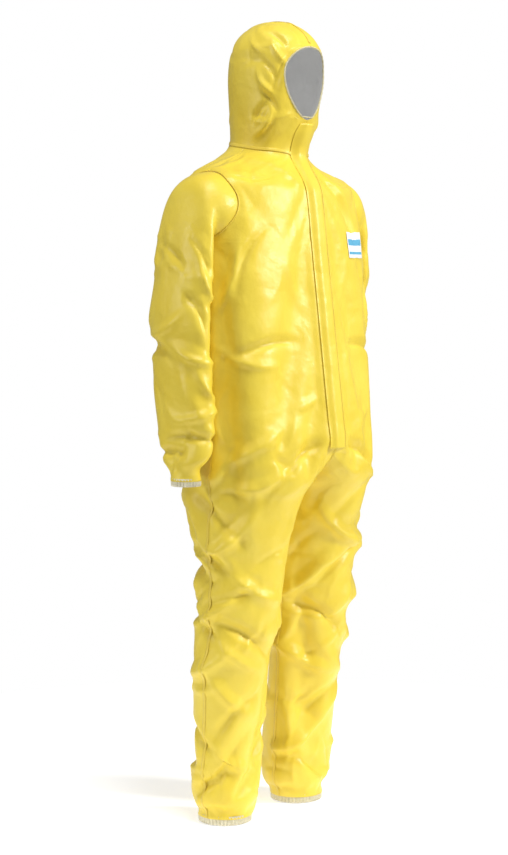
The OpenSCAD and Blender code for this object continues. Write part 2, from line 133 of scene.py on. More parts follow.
def angle_at(z, edge):
    """Angle round the section at which the right half is edge away from the suit's middle plane."""
    s = sections_at(z)
    q = np.clip((edge + s[:, 1]) / s[:, 2], -0.9999, 0.9999)
    n = s[:, 5]
    turn = np.arctan(np.abs(q) / (1 - np.abs(q) ** n) ** (1 / n))
    return np.where(q <= -0.999, -90, np.sign(q) * np.degrees(turn))


def skin(z, angle, off=0.0):
    """Points of the right half at heights and angles: 0 is the front, 90 the outer side, 180 the back."""
    z, angle = np.broadcast_arrays(np.atleast_1d(z).astype(float), np.radians(angle))
    s = sections_at(z)
    n = s[:, 5]
    k = (np.abs(np.sin(angle)) ** n + np.abs(np.cos(angle)) ** n) ** (-1 / n)
    depth = (s[:, 4] - s[:, 3]) / 2 + off
    dy = -depth * np.cos(angle) * k
    x = s[:, 1] - (s[:, 2] + off) * np.sin(angle) * k
    return np.column_stack([x, (s[:, 3] + s[:, 4]) / 2 + dy, z + s[:, 6] * dy])


def rows_between(top, bottom, edge):
    """Heights from top to bottom, spaced so that the side profile moves about one edge length at a time."""
    fine = np.linspace(top, bottom, 1200)
    side, front = (np.linalg.norm(np.diff(skin(fine, angle), axis=0), axis=1) for angle in (90, 0))
    run = np.maximum(side, front * 0.9)
    length = np.concatenate([[0], np.cumsum(run)])
    count = max(2, int(round(length[-1] / edge)))
    return np.interp(np.linspace(0, length[-1], count + 1), length, fine)


def noise(p, size, seed):
    """Smooth value noise from -1 to 1 at points p, with bumps of about that size."""
    q = np.asarray(p) / size + seed * 17.31
    cell = np.floor(q).astype(np.int64)
    f = q - cell
    f = f * f * (3 - 2 * f)
    total = np.zeros(len(q))
    for dx in (0, 1):
        for dy in (0, 1):
            for dz in (0, 1):
                corner = np.array((dx, dy, dz))
                c = cell + corner
                h = c @ np.array((374761393, 668265263, 2147483647)) + seed * 1274126177 & 0xFFFFFFFF
                h = ((h ^ (h >> 13)) * 1274126177) & 0xFFFFFFFF
                value = ((h ^ (h >> 16)) & 0xFFFF) / 32767.5 - 1
                total += value * np.where(corner, f, 1 - f).prod(axis=1)
    return total


def smoothstep(a, b, x):
    """0 up to a, 1 from b on, smooth between them."""
    t = np.clip((x - a) / (b - a), 0, 1)
    return t * t * (3 - 2 * t)

# ---------------------------------------------------------------- the cut panels, before they fall into folds

SIDE_COLS = 33             # points across a quarter of the suit
SLEEVE_SIDES = 54


def head_distance(p):
    """How far points are from the shoulder joint of their own side."""
    return np.linalg.norm(np.column_stack([np.abs(p[:, 0]), p[:, 1:]]) - np.array(SHOULDER), axis=1)


def armhole_angles(z, far):
    """Where the panel that starts at angle far meets the armhole at each height, or 90 above and below it."""
    inside = np.full(len(z), 90.0)
    outside = np.full(len(z), float(far))
    cut = head_distance(skin(z, inside)) < ARMHOLE_R
    for _ in range(26):
        mid = (inside + outside) / 2
        near = head_distance(skin(z, mid)) < ARMHOLE_R
        inside, outside = np.where(near, mid, inside), np.where(near, outside, mid)
    return np.where(cut, outside, 90.0)


def zip_gap(z):
    """Half the gap between the front edges: open along the zip, closed above and below it."""
    above_stop = smoothstep(ZIP_BOTTOM - 0.014, ZIP_BOTTOM + 0.002, z)
    return ZIP_GAP * above_stop * (1 - smoothstep(ZIP_TOP, ZIP_TOP + 0.016, z))


def face_half(z):
    """Half the width of the face opening: wide at the brow, narrow at the chin."""
    t = (z - FACE_Z) / FACE_HALF_H
    return np.where(np.abs(t) < 1, FACE_HALF_W * np.sqrt(np.clip(1 - t * t, 0, 1)) * (1 + 0.22 * t) / 1.02, 0)


def quarter(z, starts, ends):
    """Points of one quarter of the suit: one row at each height, from angle starts to ends."""
    share = np.linspace(0, 1, SIDE_COLS)
    angles = starts[:, None] + (ends - starts)[:, None] * share
    return skin(np.repeat(z, SIDE_COLS), angles.ravel()).reshape(len(z), SIDE_COLS, 3)


def fine_rows(z, around, step, count):
    """Rows z with some more close to a height where an outline turns fast."""
    extra = np.concatenate([around + s * step * np.linspace(0.06, 1, count) ** 1.6 for s in (-1, 1)])
    return np.unique(np.round(np.concatenate([z, extra]), 5))[::-1]


class Cloth:
    """A mesh in the making: welded points, and faces that each know their panel."""

    def __init__(self):
        self.points, self.faces, self.panels, self.index, self.grids = [], [], [], {}, []

    def point(self, p):
        key = tuple(np.round(p, 5) + 0.0)
        if key not in self.index:
            self.index[key] = len(self.points)
            self.points.append(p)
        return self.index[key]

    def grid(self, rows, panel, closed=False):
        """Adds a grid of points as faces; the mirrored panels come with their order turned round."""
        ids = [[self.point(p) for p in row] for row in rows]
        self.grids.append(np.array(ids))
        for a, b in zip(ids, ids[1:]):
            pairs = list(zip(a, a[1:], b[1:], b)) + ([(a[-1], a[0], b[0], b[-1])] if closed else [])
            for face in pairs:
                ring = [v for k, v in enumerate(face) if v != face[k - 1]]
                if len(ring) > 2 and len(set(ring)) == len(ring):
                    self.faces.append(ring)
                    self.panels.append(panel)

    def mesh(self, name):
        m = bpy.data.meshes.new(name)
        m.from_pydata([tuple(p) for p in self.points], [], self.faces)
        m.update()
        return m


def mirrored(rows):
    """Rows of the other half, their order turned round so that the faces still look outwards."""
    return (rows * np.array([-1, 1, 1]))[:, ::-1]


def cut_suit():
    """The whole suit without its sleeves, as one welded cloth."""
    cloth = Cloth()
    top = SECTIONS[0, 0]
    crown = rows_between(top, 0.0, CLOTH_EDGE * 0.8)
    crown = fine_rows(fine_rows(crown, FACE_Z + FACE_HALF_H, 0.008, 4), FACE_Z - FACE_HALF_H, 0.008, 4)
    crown = crown[(crown <= top) & (crown >= 0)]
    body = rows_between(0.0, HEM_Z, CLOTH_EDGE)
    body = fine_rows(fine_rows(body, -0.0605, 0.012, 5), -0.2135, 0.012, 5)
    body = body[(body <= 0) & (body >= HEM_Z)]
    for z, parts in ((crown, ("hood", "hood")), (body, ("front", "back"))):
        edge = np.maximum(face_half(z), 0) if parts[0] == "hood" else zip_gap(z)
        front = quarter(z, angle_at(z, edge), armhole_angles(z, 0))
        back = quarter(z, armhole_angles(z, 180), 180 - angle_at(z, np.zeros(len(z))))
        for rows, part in ((front, parts[0]), (back, parts[1])):
            if part == "hood":
                rows = np.concatenate([np.broadcast_to([0, -0.006, top + 0.0006], (1, SIDE_COLS, 3)), rows])
            cloth.grid(rows, part + "_right")
            cloth.grid(mirrored(rows), part + "_left")
    return cloth


def cut_sleeve(lean):
    """The right sleeve as rings of points; lean is how far it hangs back."""
    keys = np.concatenate([[0], np.cumsum(np.linalg.norm(np.diff(RINGS[:, :2], axis=0), axis=1))])
    rings = smooth_table(RINGS, keys, np.linspace(0, keys[-1], int(keys[-1] / CLOTH_EDGE)))
    rows = []
    for r in rings:
        outer, inner = np.array([r[0], 0, r[1]]), np.array([r[2], 0, r[3]])
        mid, across = (outer + inner) / 2, (outer - inner) / 2
        back = lean * min(1, max(0, (-0.120 - mid[2]) / 0.320)) ** 1.5
        w = np.linspace(0, 2 * np.pi, SLEEVE_SIDES, endpoint=False)[:, None]
        depth, shift = np.array([0, r[4], 0]), np.array([0, r[5] + back, 0])
        rows.append(mid + across * np.cos(w) + depth * np.sin(w) + shift)
    return np.array(rows)


# ---------------------------------------------------------------- cloth simulation


def simulate(name, cloth, hold, slack, pressure):
    """Lets the cloth fall: hold is how firmly each point stays, slack its share of the spare cloth."""
    obj = bpy.data.objects.new(name, cloth.mesh(name))
    bpy.context.collection.objects.link(obj)
    for group, values in (("hold", hold), ("slack", slack)):
        g = obj.vertex_groups.new(name=group)
        for i, v in enumerate(values):
            if v > 0.001:
                g.add([i], float(min(v, 1)), "REPLACE")
    c = obj.modifiers.new("cloth", "CLOTH").settings
    c.quality = 5
    c.mass = 0.12
    c.air_damping = 3.0
    c.tension_stiffness = c.compression_stiffness = 22
    c.shear_stiffness = 9
    c.tension_damping = c.compression_damping = c.shear_damping = 8
    c.bending_stiffness = 6
    c.bending_damping = 0.6
    c.vertex_group_mass = "hold"
    c.pin_stiffness = 1.0
    c.vertex_group_shrink = "slack"
    c.shrink_min = 0.0
    c.shrink_max = -MOST_SLACK
    c.use_pressure = True
    c.uniform_pressure_force = pressure
    obj.modifiers["cloth"].point_cache.frame_start = 1
    obj.modifiers["cloth"].point_cache.frame_end = FRAMES
    scene = bpy.context.scene
    for f in range(1, FRAMES + 1):
        scene.frame_set(f)
    shaped = obj.evaluated_get(bpy.context.evaluated_depsgraph_get())
    found = np.empty(len(cloth.points) * 3)
    shaped.data.vertices.foreach_get("co", found)
    bpy.data.objects.remove(obj)
    scene.frame_set(1)
    return found.reshape(-1, 3)

# ---------------------------------------------------------------- from one cloth to sewn pieces


def refine(name, points, faces, panels):
    """Rounds the cloth once: every quad becomes four, and the panel of each is kept."""
    m = bpy.data.meshes.new(name)
    m.from_pydata([tuple(p) for p in points], [], faces)
    m.polygons.foreach_set("material_index", panels)
    obj = bpy.data.objects.new(name, m)
    bpy.context.collection.objects.link(obj)
    obj.modifiers.new("round", "SUBSURF").levels = 1
    done = obj.evaluated_get(bpy.context.evaluated_depsgraph_get()).to_mesh()
    found = np.empty(len(done.vertices) * 3)
    done.vertices.foreach_get("co", found)
    new_faces = [list(p.vertices) for p in done.polygons]
    new_panels = [p.material_index for p in done.polygons]
    bpy.data.objects.remove(obj)
    return found.reshape(-1, 3), new_faces, np.array(new_panels)


def vertex_normals(points, faces):
    """Normals of welded points, from the diagonals of their quads."""
    f = np.array([face if len(face) == 4 else face + face[-1:] for face in faces])
    n = np.cross(points[f[:, 2]] - points[f[:, 0]], points[f[:, 3]] - points[f[:, 1]])
    total = np.zeros_like(points)
    for k in range(4):
        np.add.at(total, f[:, k], n)
    return total / np.maximum(np.linalg.norm(total, axis=1, keepdims=True), 1e-12)


def press_creases(points, normals, centres, angles, lengths, widths, depths):
    """Folds sharp creases into the fabric: straight V-shaped ridges, or valleys where the depth is negative."""
    out = points.copy()
    for c, angle, length, width, depth in zip(centres, angles, lengths, widths, depths):
        n = normals[c]
        level = np.cross(n, (0, 0, 1))
        level /= max(np.linalg.norm(level), 1e-6)
        along = level * math.cos(angle) + np.cross(level, n) * math.sin(angle)
        across = np.cross(n, along)
        d = points - points[c]
        u, v, w = d @ along, d @ across, d @ n
        v = v + 0.25 * u * u / length * (1 if depth > 0 else -1)
        hit = (np.abs(u) < length) & (np.abs(v) < width) & (np.abs(w) < 0.06)
        u, v = u[hit] / length, v[hit] / width
        rise = (1 - u * u) ** 2 * ((1 - np.abs(v)) ** 1.6 - 0.35 * np.sin(np.pi * v) * (1 - np.abs(v)))
        out[hit] += normals[hit] * (depth * rise)[:, None]
    return out


def scattered(points, normals, rng, low, high, count, angle, spread, length, width, depth):
    """Random creases on a stretch of height: angle is from the level, left and right slants alternate."""
    choice = np.flatnonzero((points[:, 2] > low) & (points[:, 2] < high))
    centres = rng.choice(choice, count)
    slant = np.where(rng.random(count) < 0.5, -1, 1) * np.radians(angle + rng.normal(0, spread, count))
    size = rng.random(count) ** 1.5
    return (centres, slant, length[0] + (length[1] - length[0]) * size, width[0] + (width[1] - width[0]) * size,
            (depth[0] + (depth[1] - depth[0]) * size) * np.where(rng.random(count) < 0.55, 1, -1))


def placed(points, folds):
    """Creases at chosen places: each fold is a point near it, its slant in degrees, length, width and depth."""
    at, slant, *rest_of = zip(*folds)
    return ([int(np.argmin(((points - q) ** 2).sum(axis=1))) for q in at], np.radians(slant), *rest_of)


def crumple(points, faces, seed, folds, stretches, still):
    """Presses the folds and every stretch's creases into the fabric; still is 1 where it must not move."""
    rng = np.random.default_rng(seed)
    free = (1 - still)[:, None]
    for stretch in [None, *stretches]:
        normals = vertex_normals(points, faces)
        creases = scattered(points, normals, rng, *stretch) if stretch else placed(points, folds)
        points = points + (press_creases(points, normals, *creases) - points) * free
    edges = np.array(sorted(edge_counts(faces)))
    count = np.bincount(edges.ravel(), minlength=len(points))[:, None]
    for _ in range(3):
        total = np.zeros_like(points)
        np.add.at(total, edges[:, 0], points[edges[:, 1]])
        np.add.at(total, edges[:, 1], points[edges[:, 0]])
        gap = total / count - points
        sharp = np.clip(1 - SHARPEST / np.maximum(np.linalg.norm(gap, axis=1, keepdims=True), 1e-9), 0, 1)
        points = points + gap * sharp * free
    return points


def edge_counts(faces):
    """How many faces meet at each edge."""
    count = {}
    for face in faces:
        for a, b in zip(face, face[1:] + face[:1]):
            key = (a, b) if a < b else (b, a)
            count[key] = count.get(key, 0) + 1
    return count


def two_layers(name, points, normals, faces, outside, inside, thick=FABRIC):
    """A closed piece of fabric: an outer face, an inner face a thickness behind, and the cut edge between them.

    Where a fold is sharp the inner face comes closer, and it takes the outer colour where it is turned over."""
    used = sorted({v for face in faces for v in face})
    place = {v: k for k, v in enumerate(used)}
    n = len(used)
    f = np.array([face if len(face) == 4 else face + face[-1:] for face in faces])
    facing = np.cross(points[f[:, 2]] - points[f[:, 0]], points[f[:, 3]] - points[f[:, 1]])
    facing /= np.maximum(np.linalg.norm(facing, axis=1, keepdims=True), 1e-12)
    lean = (facing[:, None] * normals[f]).sum(axis=2)
    flat = np.ones(len(points))
    np.minimum.at(flat, f, lean)
    depth = thick * np.clip(flat[used], 0.2, 1)[:, None]
    verts = np.vstack([points[used], points[used] - normals[used] * depth])
    back_slots = np.where(lean.min(axis=1) < 0.4, 0, 1).tolist()
    outer = [[place[v] for v in face] for face in faces]
    inner = [[v + n for v in face[:1] + face[:0:-1]] for face in outer]
    count = edge_counts(outer)
    rim = [[b, a, a + n, b + n] for face in outer for a, b in zip(face, face[1:] + face[:1])
           if count[(a, b) if a < b else (b, a)] == 1]
    return make_object(name, verts, outer + inner + rim, [outside, inside],
                       [0] * len(outer) + back_slots + [0] * len(rim))


def make_object(name, verts, faces, materials, slots=None, smooth=True):
    """A mesh object in the scene; slots gives each face its material."""
    m = bpy.data.meshes.new(name)
    m.from_pydata([tuple(map(float, p)) for p in verts], [], faces)
    for material in materials:
        m.materials.append(material)
    if slots is not None:
        m.polygons.foreach_set("material_index", slots)
    m.polygons.foreach_set("use_smooth", [smooth] * len(m.polygons))
    m.update()
    obj = bpy.data.objects.new(name, m)
    bpy.context.collection.objects.link(obj)
    return obj


def finish_piece(piece, body, slot, *nodes):
    """The piece moves with body and stands for the CAD nodes, which it hides; slot is not used."""
    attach(piece, body)
    if nodes:
        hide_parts(*nodes)

# ---------------------------------------------------------------- materials


def shader(name, **sockets):
    """A material with its Principled shader's own sockets set; colours are linear."""
    m = bpy.data.materials.new(name)
    m.use_nodes = True
    nodes = m.node_tree.nodes
    base = nodes["Principled BSDF"]
    for key, value in sockets.items():
        base.inputs[key.replace("_", " ")].default_value = value
    return m, nodes, m.node_tree.links, base


def texture(nodes, links, kind, scale, **settings):
    """A 3-D procedural texture in the object's own coordinates."""
    where = nodes.get("where") or nodes.new("ShaderNodeTexCoord")
    where.name = "where"
    t = nodes.new(kind)
    t.inputs["Scale"].default_value = scale
    for key, value in settings.items():
        if key in ("feature", "distance"):
            setattr(t, key, value)
        else:
            t.inputs[key].default_value = value
    links.new(where.outputs["Object"], t.inputs["Vector"])
    return t


def ramp(nodes, links, source, stops):
    """Colours between stops of (position, colour), picked by a factor."""
    r = nodes.new("ShaderNodeValToRGB")
    for k, (at, colour) in enumerate(stops):
        e = r.color_ramp.elements[k] if k < 2 else r.color_ramp.elements.new(at)
        e.position, e.color = at, (*colour, 1)
    links.new(source, r.inputs["Fac"])
    return r.outputs["Color"]


def bumped(nodes, links, base, layers):
    """Stacks bump layers: (height output, depth in metres)."""
    normal = None
    for height, depth in layers:
        b = nodes.new("ShaderNodeBump")
        b.inputs["Strength"].default_value = 1.0
        b.inputs["Distance"].default_value = depth
        links.new(height, b.inputs["Height"])
        if normal:
            links.new(normal, b.inputs["Normal"])
        normal = b.outputs["Normal"]
    links.new(normal, base.inputs["Normal"])


def film_material(name, light, deep, roughness):
    """Laminated nonwoven: faint mottling, fine creases and a smooth coated gloss."""
    m, nodes, links, base = shader(name, Specular_IOR_Level=0.42, IOR=1.48)
    cloud = texture(nodes, links, "ShaderNodeTexNoise", 9.0, Detail=5.0, Roughness=0.6)
    colour = ramp(nodes, links, cloud.outputs["Fac"], [(0.30, deep), (0.62, light)])
    links.new(colour, base.inputs["Base Color"])
    rough = ramp(nodes, links, texture(nodes, links, "ShaderNodeTexNoise", 30.0, Detail=4.0).outputs["Fac"],
                 [(0.3, (roughness - 0.06,) * 3), (0.7, (roughness + 0.08,) * 3)])
    links.new(rough, base.inputs["Roughness"])
    crease = texture(nodes, links, "ShaderNodeTexNoise", 17.0, Detail=2.0, Roughness=0.5, Distortion=0.3)
    fine = texture(nodes, links, "ShaderNodeTexNoise", 120.0, Detail=6.0, Roughness=0.65)
    bond = texture(nodes, links, "ShaderNodeTexVoronoi", 900.0)
    bumped(nodes, links, base, [(crease.outputs["Fac"], 0.004), (fine.outputs["Fac"], 0.0005),
                                (bond.outputs["Distance"], 0.00012)])
    return m


FILM = film_material("film", (0.84, 0.655, 0.075), (0.80, 0.60, 0.05), 0.36)
LINING = film_material("lining", (0.86, 0.86, 0.85), (0.79, 0.79, 0.78), 0.75)
lining_painted_glow = LINING.node_tree.nodes["Principled BSDF"]  # painted glow: a faint emission that lightens the lining and the shaded inside of the hood, standing in for light that comes through the thin laminate
lining_painted_glow.inputs["Emission Color"].default_value = (0.80, 0.80, 0.82, 1)
lining_painted_glow.inputs["Emission Strength"].default_value = 0.06


def ribbed_material(name, light, deep, roughness, ribs):
    """Woven or knitted trim: fine ribs along the piece's height and a soft mottling."""
    m, nodes, links, base = shader(name, Roughness=roughness, Specular_IOR_Level=0.25)
    cloud = texture(nodes, links, "ShaderNodeTexNoise", 160.0, Detail=4.0)
    colour = ramp(nodes, links, cloud.outputs["Fac"], [(0.32, deep), (0.62, light)])
    links.new(colour, base.inputs["Base Color"])
    rib = texture(nodes, links, "ShaderNodeTexWave", ribs, Distortion=1.5, Detail=1.0)
    knit = texture(nodes, links, "ShaderNodeTexNoise", 900.0, Detail=2.0)
    bumped(nodes, links, base, [(rib.outputs["Fac"], 0.0006), (knit.outputs["Fac"], 0.0003)])
    return m


def moulded_material(name, light, deep, roughness):
    """Moulded plastic: a faint grain and slight rubbing marks."""
    m, nodes, links, base = shader(name, Specular_IOR_Level=0.5, IOR=1.49)
    cloud = texture(nodes, links, "ShaderNodeTexNoise", 90.0, Detail=4.0)
    colour = ramp(nodes, links, cloud.outputs["Fac"], [(0.35, deep), (0.65, light)])
    links.new(colour, base.inputs["Base Color"])
    rub = texture(nodes, links, "ShaderNodeTexNoise", 400.0, Detail=5.0)
    rough = ramp(nodes, links, rub.outputs["Fac"], [(0.3, (roughness,) * 3), (0.7, (roughness + 0.2,) * 3)])
    links.new(rough, base.inputs["Roughness"])
    bumped(nodes, links, base, [(rub.outputs["Fac"], 0.0001)])
    return m


ELASTIC = ribbed_material("elastic", (0.84, 0.79, 0.60), (0.74, 0.68, 0.48), 0.7, 260.0)
FACE_ELASTIC = ribbed_material("face_elastic", (0.80, 0.74, 0.48), (0.70, 0.62, 0.34), 0.7, 260.0)
ZIP_TAPE = ribbed_material("zip_tape", (0.80, 0.60, 0.09), (0.70, 0.50, 0.06), 0.75, 420.0)
ZIP_PLASTIC = moulded_material("zip_plastic", (0.76, 0.55, 0.06), (0.68, 0.47, 0.04), 0.30)
ADHESIVE = moulded_material("adhesive", (0.84, 0.83, 0.78), (0.76, 0.75, 0.70), 0.22)
PAPER = moulded_material("label_white", (0.86, 0.87, 0.87), (0.82, 0.83, 0.84), 0.45)
BLUE = moulded_material("label_blue", (0.12, 0.42, 0.62), (0.09, 0.36, 0.56), 0.45)
TAPE = film_material("tape", (0.82, 0.63, 0.085), (0.76, 0.56, 0.06), 0.36)

# ---------------------------------------------------------------- room, lights and camera


def area_light(name, place, aim, size, power, colour=(1, 1, 1)):
    data = bpy.data.lights.new(name, "AREA")
    data.shape, data.size, data.energy, data.color = "DISK", size, power, colour
    lamp = bpy.data.objects.new(name, data)
    lamp.location = place
    lamp.rotation_euler = (Vector(aim) - Vector(place)).to_track_quat("-Z", "Y").to_euler()
    bpy.context.collection.objects.link(lamp)


def set_room():
    """White backdrop, a round pale floor and three soft lamps."""
    scene = bpy.context.scene
    scene.view_settings.view_transform = "Standard"
    world = bpy.data.worlds.new("studio")
    world.use_nodes = True
    nodes, links = world.node_tree.nodes, world.node_tree.links
    room = nodes["Background"]
    room.inputs["Color"].default_value = (1, 1, 1, 1)
    room.inputs["Strength"].default_value = 0.27
    backdrop = nodes.new("ShaderNodeBackground")
    backdrop.inputs["Color"].default_value = (1, 1, 1, 1)
    rays, pick = nodes.new("ShaderNodeLightPath"), nodes.new("ShaderNodeMixShader")
    links.new(rays.outputs["Is Camera Ray"], pick.inputs["Fac"])
    links.new(room.outputs["Background"], pick.inputs[1])
    links.new(backdrop.outputs["Background"], pick.inputs[2])
    links.new(pick.outputs["Shader"], nodes["World Output"].inputs["Surface"])
    scene.world = world
    m, nodes, links, base = shader("floor", Roughness=0.9, Specular_IOR_Level=0.1, Emission_Strength=0.50,
                                   Emission_Color=(1, 1, 1, 1))
    cloud = texture(nodes, links, "ShaderNodeTexNoise", 3.0, Detail=2.0)
    pale = ramp(nodes, links, cloud.outputs["Fac"], [(0.3, (0.96,) * 3), (0.7, (0.98,) * 3)])
    links.new(pale, base.inputs["Base Color"])
    floor = cad_low.z - 0.001
    ring = [1.5 * Vector((math.cos(math.radians(a)), math.sin(math.radians(a)), 0)) for a in range(0, 360, 3)]
    ground = make_object("floor", [(v.x, v.y, floor) for v in ring], [list(range(len(ring)))], [m])
    area_light("key", (1.6, -3.4, 1.0), (0, 0, -0.5), 0.8, 125)
    area_light("top", (-1.0, -1.2, 3.0), (0, 0, -0.4), 1.0, 80)
    area_light("side", (-3.4, 1.4, 0.4), (0, 0, -0.7), 0.9, 34)


def set_camera():
    """The photograph's viewpoint: the wearer's right front, a little above the waist."""
    data = bpy.data.cameras.new("photo_view")
    data.lens, data.sensor_width = 83, 36
    data.clip_end = 100
    cam = bpy.data.objects.new("photo_view", data)
    cam.location = (-3.39, -2.82, -0.30)
    cam.rotation_euler = (math.radians(90 - 4.17), 0, math.radians(-49.7))
    bpy.context.collection.objects.link(cam)
    bpy.context.scene.camera = cam


set_camera()
set_room()

# ---------------------------------------------------------------- body, legs and hood

PANELS = ["hood_right", "hood_left", "front_right", "front_left", "back_right", "back_left"]

# The shoulder joint of each side
CENTRES = {"right": np.array([-SHOULDER.x, SHOULDER.y, SHOULDER.z]), "left": np.array(SHOULDER)}


def hang(piece, body, node):
    """A fabric panel is a sheet of film that replaces its CAD node."""
    finish_piece(piece, body, "film", node)


def face_distance(x, z):
    """1 on the edge of the face opening, less inside it and more outside."""
    return np.sqrt((x / FACE_HALF_W) ** 2 + ((z - FACE_Z) / FACE_HALF_H) ** 2)


def near(z, at, width):
    """1 at a height, falling smoothly to 0 a width away."""
    return 1 - smoothstep(0, width, np.abs(z - at))


def drape_suit():
    """Cuts the body cloth, gives it spare length where it wrinkles, and lets it settle."""
    cloth = cut_suit()
    p = np.array(cloth.points)
    x, y, z = np.abs(p[:, 0]), p[:, 1], p[:, 2]
    leg = smoothstep(-0.60, -0.80, z)
    face = face_distance(x, z)
    growth = 0.02 + 0.07 * leg + 0.06 * near(z, WAIST_Z, 0.12) + 0.25 * near(z, -1.46, 0.07)
    growth += np.where((y < 0) & (z > 0), 0.25 * (1 - smoothstep(1.0, 1.9, face)), 0) + 0.05 * near(z, 0, 0.04)
    count = edge_counts(cloth.faces)
    rim = sorted({v for edge, n in count.items() if n == 1 for v in edge})
    hold = 0.16 * smoothstep(-0.36, -0.12, z) + 0.04 * smoothstep(-0.80, -0.60, z)
    hold = np.where(z > 0, 0.10 + 0.25 * smoothstep(0.10, 0.26, z) + 0.15 * smoothstep(0, 0.09, y), hold)
    hold[(y < 0) & (x < FLAP_HALF + 0.003) & (z > ZIP_BOTTOM - 0.01)] = 1
    hold[rim] = 1
    hold = np.maximum(hold, 0.7 * (1 - smoothstep(0.003, 0.016, np.abs(head_distance(p) - ARMHOLE_R))))
    ripple = np.column_stack([noise(p, 0.14, s) * 0.006 + noise(p, 0.06, s + 9) * 0.002 for s in (3, 4, 5)])
    start = p + ripple * (1 - hold)[:, None]
    cloth.points = list(start)
    return cloth, simulate("suit_cloth", cloth, hold, growth, 0.5)


# Folds seen in the photograph: side, height, angle round the half, slant, half length, half width, depth
SUIT_FOLDS = [
    (-1, -0.92, 138, 10, 0.10, 0.040, -0.034), (-1, -0.86, 60, -38, 0.12, 0.030, 0.016),
    (-1, -0.95, 40, 40, 0.12, 0.028, 0.016), (-1, -1.01, 75, -36, 0.13, 0.030, 0.016),
    (-1, -1.07, 30, 34, 0.12, 0.028, -0.016), (-1, -1.13, 80, -35, 0.12, 0.032, 0.016),
    (-1, -1.30, 100, 38, 0.12, 0.028, -0.014), (-1, -1.35, 50, 36, 0.11, 0.028, 0.016),
    (-1, -1.40, 80, -34, 0.11, 0.026, -0.014), (-1, -0.80, 80, 42, 0.12, 0.028, -0.014),
    (-1, -0.90, 85, 26, 0.13, 0.026, -0.016), (-1, -0.98, 60, -22, 0.11, 0.022, -0.012),
    (-1, -1.20, 60, 50, 0.12, 0.028, 0.012), (-1, -1.10, 55, 46, 0.11, 0.024, 0.012),
    (-1, -1.25, 45, -48, 0.11, 0.026, -0.012), (-1, -1.04, 100, 30, 0.11, 0.026, -0.014),
    (1, -0.86, -20, 36, 0.12, 0.028, 0.016), (1, -0.97, -60, -34, 0.12, 0.030, 0.016),
    (1, -1.05, -30, 32, 0.12, 0.028, -0.016), (1, -1.15, -60, 30, 0.12, 0.030, 0.016),
    (1, -1.26, -20, -38, 0.11, 0.030, -0.014), (1, -1.34, -40, -36, 0.11, 0.028, 0.016),
    (1, -1.40, -20, 34, 0.11, 0.026, -0.014), (1, -0.95, 130, 25, 0.11, 0.035, -0.018),
    (1, -0.90, 42, 20, 0.10, 0.050, 0.016), (1, -1.01, 42, -20, 0.10, 0.055, 0.020),
    (1, -1.11, 42, 22, 0.10, 0.045, 0.016), (1, -0.92, -10, -35, 0.11, 0.024, -0.014),
    (-1, -0.68, 15, -35, 0.13, 0.028, -0.016), (1, -0.68, 15, 35, 0.12, 0.028, -0.016),
    (-1, -0.73, 30, -25, 0.11, 0.028, 0.013), (1, -0.73, 20, 20, 0.10, 0.028, 0.013),
    (-1, -0.66, 55, -30, 0.12, 0.026, 0.010), (-1, -0.72, 140, 10, 0.12, 0.050, -0.022),
    (1, -0.13, 28, 58, 0.11, 0.026, -0.012), (1, -0.37, 55, 84, 0.09, 0.020, 0.009),
    (1, -0.30, 40, 75, 0.08, 0.018, -0.007), (-1, -0.43, 40, -12, 0.12, 0.020, -0.010),
    (1, -0.44, 40, 12, 0.11, 0.020, -0.010), (-1, -0.30, 60, -70, 0.10, 0.026, 0.010),
    (-1, -0.24, 50, -62, 0.10, 0.022, -0.008), (-1, -0.47, 60, 20, 0.10, 0.022, 0.008),
    (-1, 0.19, 50, 50, 0.045, 0.014, 0.007), (-1, 0.13, 68, 56, 0.045, 0.014, 0.007),
    (-1, 0.23, 50, 45, 0.040, 0.013, -0.006), (-1, 0.05, 58, -57, 0.045, 0.013, 0.008),
    (-1, 0.16, 58, 54, 0.045, 0.012, -0.006), (-1, 0.10, 58, 50, 0.040, 0.012, -0.006),
    (-1, 0.07, 72, -50, 0.040, 0.013, -0.006), (-1, 0.21, 80, 40, 0.045, 0.014, 0.005),
    (1, 0.16, 60, -50, 0.040, 0.016, 0.006), (1, 0.05, 50, 50, 0.035, 0.014, 0.005)]

# Random creases: low, high, count, angle, its spread, lengths, widths, depths
SUIT_CREASES = [
    (-1.45, -0.78, 50, 38, 20, (0.06, 0.14), (0.020, 0.042), (0.004, 0.012)),
    (-1.46, -0.70, 110, 45, 25, (0.03, 0.09), (0.010, 0.020), (0.002, 0.006)),
    (-0.80, -0.55, 30, 40, 20, (0.04, 0.11), (0.016, 0.034), (0.003, 0.009)),
    (-0.62, -0.05, 30, 68, 18, (0.06, 0.15), (0.020, 0.050), (0.002, 0.007)),
    (-0.70, 0.00, 40, 50, 30, (0.02, 0.07), (0.010, 0.020), (0.0006, 0.0022)),
    (0.02, 0.27, 36, 30, 25, (0.02, 0.06), (0.010, 0.022), (0.001, 0.0035))]


def suit_still(p):
    """1 on the suit's closure, armholes, hems and face edge, 0 a little away from them."""
    x, y, z = np.abs(p[:, 0]), p[:, 1], p[:, 2]
    armhole = 1 - smoothstep(0.002, 0.040, np.abs(head_distance(p) - ARMHOLE_R))
    under_flap = (y < 0) & (z > ZIP_BOTTOM - 0.03) & (z < 0.08)
    closure = np.where(under_flap, 1 - smoothstep(FLAP_HALF + 0.002, FLAP_HALF + 0.03, x), 0)
    brim = np.where((y < 0) & (z > 0), 1 - smoothstep(1.0, 1.25, face_distance(x, z)), 0)
    return np.max([armhole, closure, brim, 1 - smoothstep(HEM_Z + 0.002, HEM_Z + 0.025, z)], axis=0)


